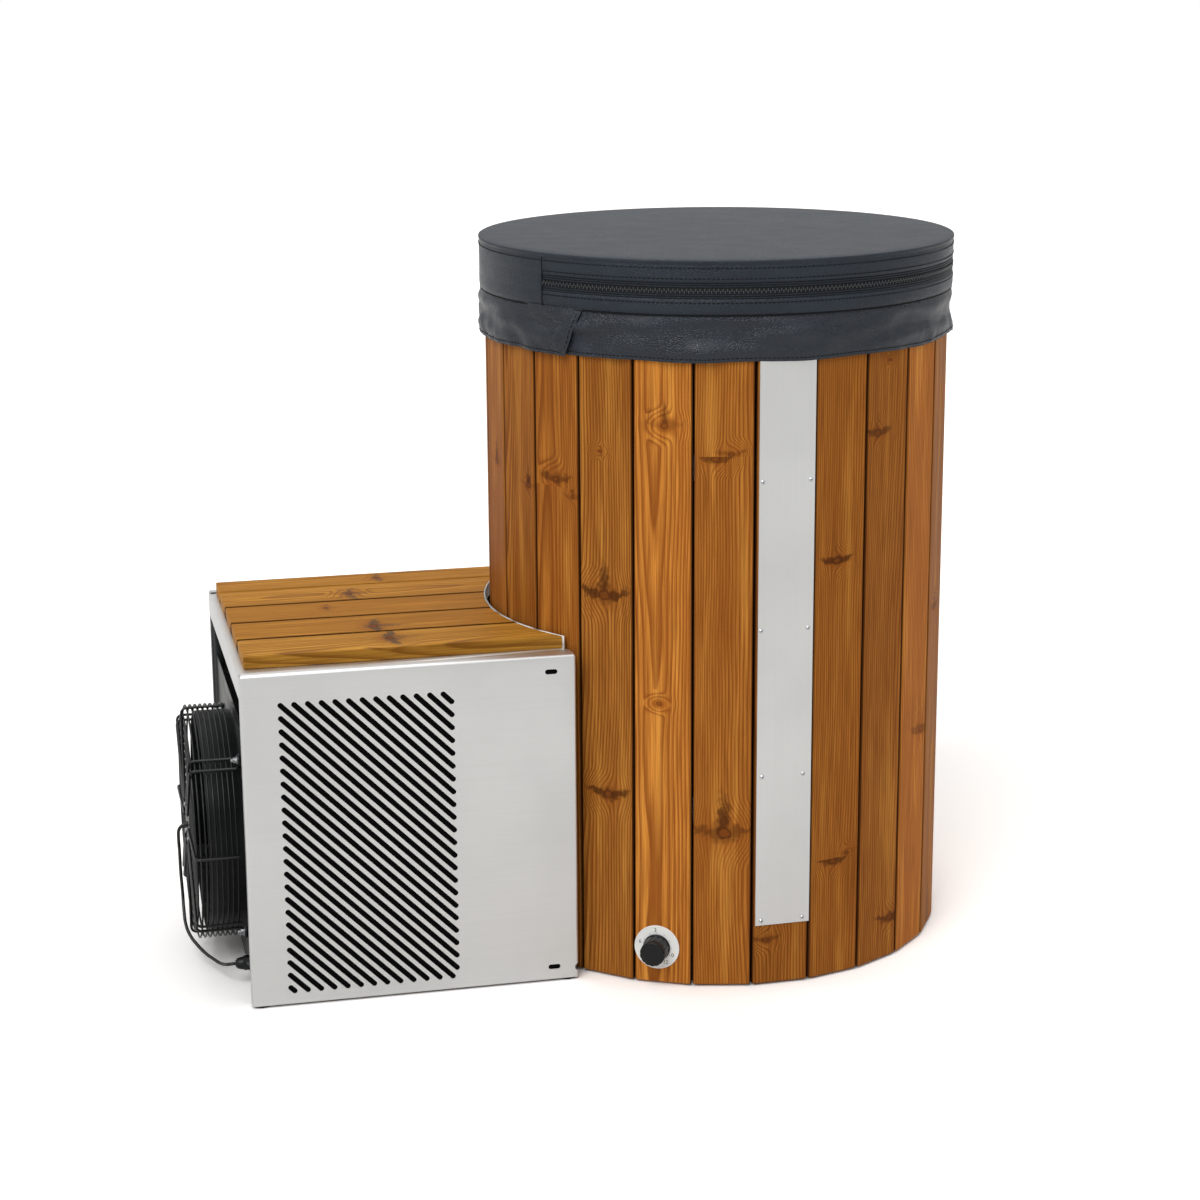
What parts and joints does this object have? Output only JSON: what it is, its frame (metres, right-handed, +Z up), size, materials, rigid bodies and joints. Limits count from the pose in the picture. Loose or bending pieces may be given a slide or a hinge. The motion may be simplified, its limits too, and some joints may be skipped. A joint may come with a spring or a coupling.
{
  "type": "cold plunge tub",
  "caption": "Coopered round plunge tub with a padded zip cover, joined to a louvred water chiller whose slatted top is a seat and step.",
  "frame": {"origin": "on the floor, on the tub's axis, at the middle of the base board's underside", "axes": "+Z up; -X towards the chiller and its fan; -Y towards the louvred front panel and the front plate"},
  "size_m": [1.3009, 0.778, 1.164],
  "materials": {
    "oiled_pine": "oiled heat-treated pine",
    "stainless": "satin stainless sheet",
    "black_steel": "black coated wire",
    "black_plastic": "black moulded plastic",
    "grey_vinyl": "grained slate-grey vinyl",
    "white_acrylic": "glossy white liner",
    "pale_foam": "rigid insulating foam",
    "dark_board": "sealed plywood",
    "bare_aluminium": "plain fins",
    "grey_rubber": "dark hose",
    "black_paint": "black powder coat"
  },
  "bodies": {
    "tub_and_chiller": {"stave_01": "oiled_pine", "stave_02": "oiled_pine", "stave_03": "oiled_pine", "stave_04": "oiled_pine", "stave_05": "oiled_pine", "stave_06": "oiled_pine", "stave_07": "oiled_pine", "stave_08": "oiled_pine", "stave_09": "oiled_pine", "stave_10": "oiled_pine", "stave_11": "oiled_pine", "stave_12": "oiled_pine", "stave_13": "oiled_pine", "stave_14": "oiled_pine", "stave_15": "oiled_pine", "stave_16": "oiled_pine", "stave_17": "oiled_pine", "stave_18": "oiled_pine", "stave_19": "oiled_pine", "stave_20": "oiled_pine", "stave_21": "oiled_pine", "stave_22": "oiled_pine", "stave_23": "oiled_pine", "stave_24": "oiled_pine", "stave_25": "oiled_pine", "base_board": "dark_board", "insulation": "pale_foam", "inner_tub": "white_acrylic", "hoop_1": "stainless", "hoop_2": "stainless", "front_plate": "stainless", "dial_plate": "stainless", "dial_control": "black_plastic", "chiller_frame": "black_paint", "front_panel": "stainless", "rear_panel": "stainless", "seat_tray": "stainless", "seat_slat_1": "oiled_pine", "seat_slat_2": "oiled_pine", "seat_slat_3": "oiled_pine", "seat_slat_4": "oiled_pine", "seat_slat_5": "oiled_pine", "fan_shroud": "black_paint", "fan_motor": "black_paint", "fan_guard": "black_steel", "condenser_core": "bare_aluminium", "compressor": "black_paint", "circulation_pump": "black_plastic", "heat_exchanger": "stainless", "suction_hose": "grey_rubber", "return_hose": "grey_rubber", "link_hose": "grey_rubber", "cable_gland": "black_plastic", "fan_lead": "black_plastic"},
    "cover": {"cover_panel": "grey_vinyl", "cover_skirt": "grey_vinyl", "zip_strip": "black_plastic"},
    "zip_slider": {"zip_slider": "black_plastic"},
    "dial": {"dial_knob": "black_plastic"},
    "fan": {"fan_impeller": "black_plastic"}
  },
  "joints": [
    {"name": "cover_lift", "type": "slide", "parent": "tub_and_chiller", "child": "cover", "axis": [0, 0, 1], "range_m": [0, 0.25]},
    {"name": "zip_run", "type": "hinge", "parent": "cover", "child": "zip_slider", "pos_m": [0, 0, 1.1135], "axis": [0, 0, 1], "range_deg": [-260, 0]},
    {"name": "dial_turn", "type": "hinge", "parent": "tub_and_chiller", "child": "dial", "pos_m": [-0.18156, -0.32937, 0.0633], "axis": [-0.461, -0.8874, 0], "range_deg": [-270, 0]},
    {"name": "fan_spin", "type": "hinge", "parent": "tub_and_chiller", "child": "fan", "pos_m": [-0.84, 0, 0.223], "axis": [1, 0, 0], "continuous": true}
  ]
}
